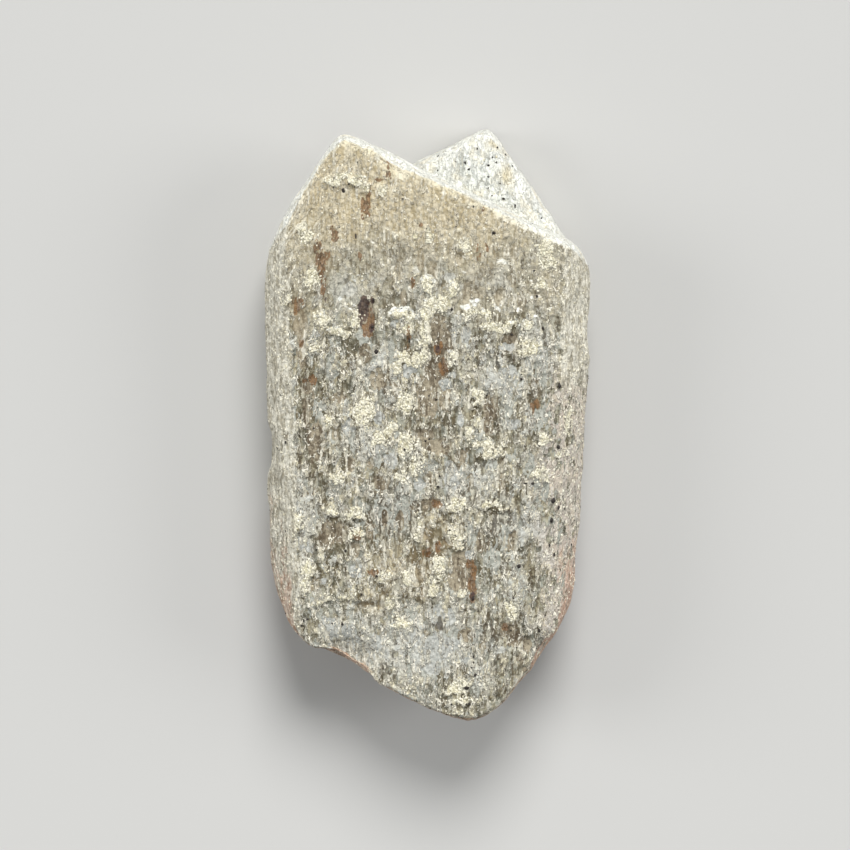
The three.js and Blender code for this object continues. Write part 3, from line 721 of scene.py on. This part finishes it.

# The whitish sides, and the chalky ends and ledge; the upper end faces, which face the key light,
# are painted near-white, painted light as well as chalk
sided = weighed(tree, mask["side"], (0.8, rag), span=(0.6, 1.0))
colour = laid(tree, colour, laid(tree, "#bcb49f", "#f6f1e0", stripe), (0.8, sided))
chalky_and_lit = weighed(tree, mask["chalk_and_lit_end"], (0.5, flake), span=(0.45, 0.85))
white = laid(tree, "#c9c6b7", "#f3f3ea", weighed(tree, rag, span=(0.34, 0.48)))
white = laid(tree, white, "#ece7d6", weighed(tree, cloud, span=(0.52, 0.66)))
white = laid(tree, white, "#d3c49c", (0.7, mask["tan"]))
white = laid(tree, white, "#a7adab", (0.5, weighed(tree, (mask["cool"], stripe))))
colour = laid(tree, colour, white, chalky_and_lit)

# Fine strokes along c, painted glints as bright flecks, and painted shade in the gaps between
# fibres and in pits, fewer where the plate is sound
still = weighed(tree, tint, (0.3, mask["window"]), span=(0.5, 0.56))
quiet = weighed(tree, (0.6, mask["calm"]), (0.45, still), (0.3, even), (0.4, chalky_and_lit),
                (0.35, mask["side"]), (0.35, mask["rosy"]), (0.2, window))
uncrusted = weighed(tree, (-0.6, mask["crust"]), speck, span=(0.4, 0.5))
gap_shade = weighed(tree, (uncrusted, weighed(tree, fibre, span=(0.43, 0.39))))
covered = weighed(tree, mask["crust"], (0.5, share))
glint = weighed(tree, stroke, (-0.3, covered), span=(0.84, 0.85))
slot = weighed(tree, stroke, (0.3, covered), span=(0.18, 0.17))
fleck_glint = weighed(tree, speck, span=(0.6, 0.62))
pit_shade = weighed(tree, speck, span=(0.42, 0.39))
# The gaps and pits get painted shade, the flecks painted glints
for amount, where, paint in ((0.75, gap_shade, "#554c3b"), (0.6, glint, "#d9d4c0"),
                             (0.6, slot, "#5a4f3c"), (0.35, fleck_glint, "#f6f0dc"),
                             (0.7, pit_shade, "#5a4f3e")):
    colour = laid(tree, colour, paint, (amount, where), (-1.0, quiet))

# Rust along the cleavage, umber inclusions, and a reddish tint on the walls towards the lower end
stain = weighed(tree, (0.9, fibre), (0.9, rag), (0.8, speck))
rusty = weighed(tree, (0.65, mask["rust"]), stain, span=(1.77, 1.85))
rust = laid(tree, "#503522", "#8c653a", (0.5, stripe), (0.5, hue))
colour = laid(tree, colour, rust, (0.8, rusty))
dark = weighed(tree, (0.9, mask["umber"]), stain, span=(1.72, 1.8))
colour = laid(tree, colour, laid(tree, "#3f3132", "#5d4a40", stripe), (0.9, dark))
reddened = weighed(tree, (0.7, mask["reddish_low_walls"]), (0.8, rag), (0.4, cloud), span=(0.95, 1.35))
colour = laid(tree, colour, laid(tree, "#b07353", "#cfa083", stripe), (0.55, reddened))
tree.links.new(colour, shader.inputs["Base Color"])

# Skin and crust stand a little higher and are duller than the bare feldspar
STONE_BUMP = 0.00023
height = weighed(tree, (0.3, fibre), (0.6, share), (0.6, crusted), (-0.5, crevice), (0.4, lip_highlight))
bump = node(tree, "Bump", {"Height": height, "Strength": 1.0, "Distance": STONE_BUMP})
tree.links.new(bump.outputs[0], shader.inputs["Normal"])
dull = node(tree, "Mix", {0: share, 2: 0.6, 3: 0.85})
tree.links.new(dull.outputs[0], shader.inputs["Roughness"])
shader.inputs["Specular IOR Level"].default_value = 0.25
crystal.data.materials.clear()
crystal.data.materials.append(stone)

# ---------------------------------------------------------------------------------------------
# Crust grains. The crust is made of crumbs of pale clay and lime, a few tenths of a millimetre
# across, that stuck to the crystal in the ground. They lie thick on the crust patches of the front
# face and thin on the prism faces.

GRAIN_COUNT = 6000
GRAIN_RADIUS = (0.04, 0.1)
GRAIN_LENGTH, GRAIN_FLATNESS = 1.2, 0.4
LUMP_UNEVENNESS = 0.4
rng = np.random.default_rng(7)

# A ball of twelve points and twenty faces
corner = (1 + math.sqrt(5)) / 2
ball = np.array([(-1, corner, 0), (1, corner, 0), (-1, -corner, 0), (1, -corner, 0),
                 (0, -1, corner), (0, 1, corner), (0, -1, -corner), (0, 1, -corner),
                 (corner, 0, -1), (corner, 0, 1), (-corner, 0, -1), (-corner, 0, 1)])
ball = ball / np.linalg.norm(ball[0])
ball_faces = np.array([(0, 11, 5), (0, 5, 1), (0, 1, 7), (0, 7, 10), (0, 10, 11), (1, 5, 9),
                       (5, 11, 4), (11, 10, 2), (10, 7, 6), (7, 1, 8), (3, 9, 4), (3, 4, 2),
                       (3, 2, 6), (3, 6, 8), (3, 8, 9), (4, 9, 5), (2, 4, 11), (6, 2, 10),
                       (8, 6, 7), (9, 8, 1)])


def strewn(mesh, points, density, count):
    """count random places on a mesh, with the way it faces there, as likely as area x density."""
    mesh.calc_loop_triangles()
    corners = np.empty(len(mesh.loop_triangles) * 3, int)
    mesh.loop_triangles.foreach_get("vertices", corners)
    corners = corners.reshape(-1, 3)
    a, b, c = (points[corners[:, k]] for k in range(3))
    cross = np.cross(b - a, c - a)
    area = np.linalg.norm(cross, axis=1)
    likely = area * density[corners].mean(axis=1)
    chosen = rng.choice(len(corners), count, p=likely / likely.sum())
    s, t = rng.random((2, count, 1))
    s, t = np.where(s + t > 1, 1 - s, s), np.where(s + t > 1, 1 - t, t)
    place = a[chosen] + s * (b - a)[chosen] + t * (c - a)[chosen]
    return place, cross[chosen] / area[chosen, None]


def lumps(name, centres, normals, across, along, through):
    """One mesh of many small lumps: a ball of twelve points stretched along x, y and the way
    the surface faces, with each point pushed in or out by up to four tenths."""
    side = np.cross(normals, (0, 1, 0.01))
    side /= np.linalg.norm(side, axis=1, keepdims=True)
    up = np.cross(side, -normals)
    uneven = 1 + LUMP_UNEVENNESS * rng.uniform(-1, 1, (len(centres), len(ball), 1))
    turn = rng.uniform(0, 2 * math.pi, len(centres))[:, None]
    u = ball[:, 0] * np.cos(turn) - ball[:, 1] * np.sin(turn)
    v = ball[:, 0] * np.sin(turn) + ball[:, 1] * np.cos(turn)
    w = np.broadcast_to(ball[:, 2], u.shape)
    offset = ((u * across[:, None])[..., None] * side[:, None]
              + (v * along[:, None])[..., None] * up[:, None]
              + (w * through[:, None])[..., None] * normals[:, None])
    points = np.clip(centres[:, None] + offset * uneven, low, high).reshape(-1, 3)
    faces = (ball_faces[None] + len(ball) * np.arange(len(centres))[:, None, None]).reshape(-1, 3)
    piece = mesh_object(name, points / 1000, faces)
    piece.data.polygons.foreach_set("use_smooth", np.ones(len(faces), bool))
    return piece


density = (masks["crust"] ** 2 + 0.08 * on_side * ease(nz, 0, 0.3) + 0.05 * on_front * pale
           + 0.03 * on_ledge)
spot, out = strewn(grown, points, density, GRAIN_COUNT)
size = rng.uniform(*GRAIN_RADIUS, GRAIN_COUNT) * rng.uniform(0.6, 1.2, (3, GRAIN_COUNT))
crumb = lumps("crust_grains", spot, out, size[0], size[1] * GRAIN_LENGTH, size[2] * GRAIN_FLATNESS)
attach(crumb, "root")
pallor = np.repeat(rng.random(GRAIN_COUNT), len(ball))
crumb.data.attributes.new("tone", "FLOAT", "POINT").data.foreach_set("value", pallor)

# Lime and clay crust: dry, chalky crumbs, each one a little paler or yellower than the next
lime, tree, shader, place = new_material("lime and clay crust")
paleness = node(tree, "Attribute", {}, attribute_name="tone").outputs["Fac"]
colour = laid(tree, "#d8d0b4", "#f1ecd8", weighed(tree, paleness, span=(0.0, 0.7)))
tree.links.new(colour, shader.inputs["Base Color"])
shader.inputs["Roughness"].default_value = 0.9
crumb.data.materials.append(lime)

# ---------------------------------------------------------------------------------------------
# Dark specks. Grains of iron and manganese oxide, and pinholes filled with soil, sit in the front
# face and on the exposed ledge of the back individual.

# The larger ones on the front face and on the ledge, in pixels of the view as the patches are
DARK = seen([
    (344, 195, 2.2, 3), (336, 191, 1, 1.2), (351, 187, 1, 1), (356, 190.5, 1.1, 1.1),
    (356, 239, 1, 2.5), (404, 203, 1.1, 1.1), (472, 210, 1, 1.3), (377, 352, 2, 2.2),
    (451, 311, 1.6, 1.6), (436, 400, 1.3, 1.8), (430, 396, 1, 1), (486.5, 396, 1.6, 1.3),
    (493, 235, 2, 2), (533, 272, 1.2, 1), (536, 298, 1.3, 1.3), (541, 329, 2, 1.6),
    (511, 336, 1.6, 1.3), (581, 376, 0.9, 2.5), (520, 379, 1.5, 1.3), (558, 386, 2.2, 3.2),
    (552, 500, 2.5, 3.5), (551, 519, 1.7, 2.7), (557, 507, 1.5, 2), (564, 510, 1, 1.4),
    (531, 483, 1.6, 1.4), (524, 482, 2.2, 0.8), (557, 447, 2.8, 1.8), (538, 444, 1, 1),
    (492, 452, 1, 1.3), (404, 448, 1.5, 1.3), (438, 486, 1.3, 1.3), (440, 475, 1, 1.3),
    (425, 440, 1.3, 1.3), (430, 438, 1.3, 0.9), (345, 549, 1.4, 1.4), (377, 574, 1.6, 1.4),
    (362, 592, 1.3, 1.3), (317, 548, 1.1, 1.1), (285, 533, 1.2, 1.2), (308, 618, 1.6, 1.2),
    (305, 620, 1, 1.2), (301, 625, 1, 1), (343, 623, 1.6, 1.6), (332, 623.5, 1.1, 1.1),
    (475, 673, 1.6, 1.8), (474, 661.6, 1, 1), (473, 656, 1, 1.3), (472, 667, 1, 1),
    (466, 685.6, 2.7, 1.7), (452, 704, 1.4, 1.4), (466, 703.5, 1.2, 1), (469, 703.5, 1.5, 1.3),
    (518, 564, 2, 2.2), (548, 545, 1.3, 2), (572, 549, 1.2, 1.6), (553.5, 553, 1.5, 1.8),
    (560, 570.5, 0.9, 2.4), (512, 596, 0.9, 0.9), (555, 602, 0.9, 1.5), (545, 613.5, 0.9, 0.9),
    (538, 629.5, 1.5, 2), (511, 629, 1, 1.2), (449, 527.6, 1.1, 1), (287, 444, 1.5, 1.5),
    (273, 452, 1.3, 1), (314.6, 427.5, 1.1, 1.1), (472, 597, 1.3, 2.5), (373, 328, 1.3, 1.8),
    (373.5, 301, 1.1, 2.3), (409, 340, 0.8, 3.2),
], FACE_HEIGHT)
BACK_DARK = seen([
    (476.6, 150.3, 0.9, 1.6), (497, 151, 1, 1), (505.6, 156.5, 1.3, 1.3), (466, 163.8, 1.4, 2),
    (467, 170, 1.7, 1.5), (492, 158.7, 0.9, 1), (488, 167.4, 1.3, 1), (497, 163.7, 1, 1),
    (488.6, 178.5, 1.5, 1.1), (517.6, 167.7, 1.3, 1.5), (490.7, 196.7, 0.9, 0.9),
    (488.6, 188.5, 1, 1), (437.6, 154.5, 1, 2), (504, 200, 1.7, 1.3), (515.5, 206, 0.9, 2.3),
    (497.8, 184.5, 0.9, 0.9), (437, 173, 1, 1), (541, 219, 1, 1.3),
], TWIN_PLANE)
SEAT_REACH = 0.17
SPECK_COUNT, SPECK_RADIUS, SPECK_HEIGHT = 500, (0.025, 0.06), 0.06


def seat(table, eligible):
    """Where each listed speck sits: over the nearest eligible vertex, as high as the highest one
    within reach of the listed place, and the index of that nearest vertex."""
    index = np.flatnonzero(eligible)
    far = (points[index, 0] - table[:, :1]) ** 2 + (points[index, 1] - table[:, 1:2]) ** 2
    nearest = index[far.argmin(axis=1)]
    top = np.where(far < SEAT_REACH ** 2, points[index, 2], points[nearest, 2][:, None])
    return np.column_stack([points[nearest, :2], top.max(axis=1)]), nearest


front_place, front_spot = seat(DARK, (z > 6) & (nz > 0.3))
ledge_place, ledge_spot = seat(BACK_DARK, (z < 6) & (nz > 0.3) & (z > 3))
spot, out = strewn(grown, points, on_front + on_ledge + 1.5 * on_side + 0.2, SPECK_COUNT)
listed = np.concatenate([DARK, BACK_DARK])
centres = np.concatenate([front_place, ledge_place, spot])
normals = np.concatenate([facing[np.concatenate([front_spot, ledge_spot])], out])
fine = rng.uniform(*SPECK_RADIUS, (2, SPECK_COUNT))
across = np.concatenate([listed[:, 2], fine[0]])
along = np.concatenate([listed[:, 3], fine[1]])
dark = lumps("dark_specks", centres, normals, across, along, np.full(len(across), SPECK_HEIGHT))
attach(dark, "root")

# Iron and manganese oxide: earthy, nearly black brown, dull
oxide, tree, shader, place = new_material("iron and manganese oxide")
shader.inputs["Base Color"].default_value = linear("#2c2520")
shader.inputs["Roughness"].default_value = 0.7
dark.data.materials.append(oxide)

# ---------------------------------------------------------------------------------------------
# Camera. It looks almost straight down on the front face, a little from the notched end, so the
# chalky upper end faces and the ledge of the back individual show.

MM = 0.001
VIEW_DISTANCE = 0.4
SENSOR_WIDTH = 36
camera = bpy.data.objects.new("camera", bpy.data.cameras.new("camera"))
camera.data.sensor_width = SENSOR_WIDTH
camera.data.lens = SENSOR_WIDTH * VIEW_DISTANCE / (VIEW_WIDTH * MM)
camera.data.clip_start, camera.data.clip_end = 0.01, 10
camera.location = (VIEW_TARGET * MM
                   + VIEW_DISTANCE * np.array([0, math.sin(VIEW_TILT), math.cos(VIEW_TILT)]))
camera.rotation_euler = (-VIEW_TILT, 0, 0)
bpy.context.scene.collection.objects.link(camera)
bpy.context.scene.camera = camera

# ---------------------------------------------------------------------------------------------
# Floor. A level board with matt pale paint, which the crystal lies loose on.

floor_mesh = bpy.data.meshes.new("floor")
floor_mesh.from_pydata([(-1, -1, 0), (1, -1, 0), (1, 1, 0), (-1, 1, 0)], [], [(0, 1, 2, 3)])
floor = bpy.data.objects.new("floor", floor_mesh)
bpy.context.scene.collection.objects.link(floor)
board, tree, shader, place = new_material("matt pale board")
shader.inputs["Base Color"].default_value = linear("#c4c3c0")
shader.inputs["Roughness"].default_value = 0.9
floor_mesh.materials.append(board)

# ---------------------------------------------------------------------------------------------
# Light. A large soft lamp stands beyond the notched end, weaker ones fill in from both sides, and
# the pale room gives the rest.

SOFTNESS = math.radians(28)


def soft_sun(name, azimuth, elevation, strength):
    """Even light from far off, from that azimuth (0 along y, 90 along x) and elevation."""
    data = bpy.data.lights.new(name, "SUN")
    data.energy, data.angle = strength, SOFTNESS
    light = bpy.data.objects.new(name, data)
    light.rotation_euler = (0, math.radians(90 - elevation), math.radians(90 - azimuth))
    bpy.context.scene.collection.objects.link(light)


soft_sun("key from the notched end", 8, 40, 3.16)
soft_sun("left fill", -80, 28, 1.0)
soft_sun("right fill", 80, 28, 0.98)
room = bpy.data.worlds.new("studio")
room.use_nodes = True
room.node_tree.nodes["Background"].inputs["Color"].default_value = (0.94, 0.98, 1.0, 1)
room.node_tree.nodes["Background"].inputs["Strength"].default_value = 0.32
bpy.context.scene.world = room
bpy.context.scene.view_settings.view_transform = "Standard"
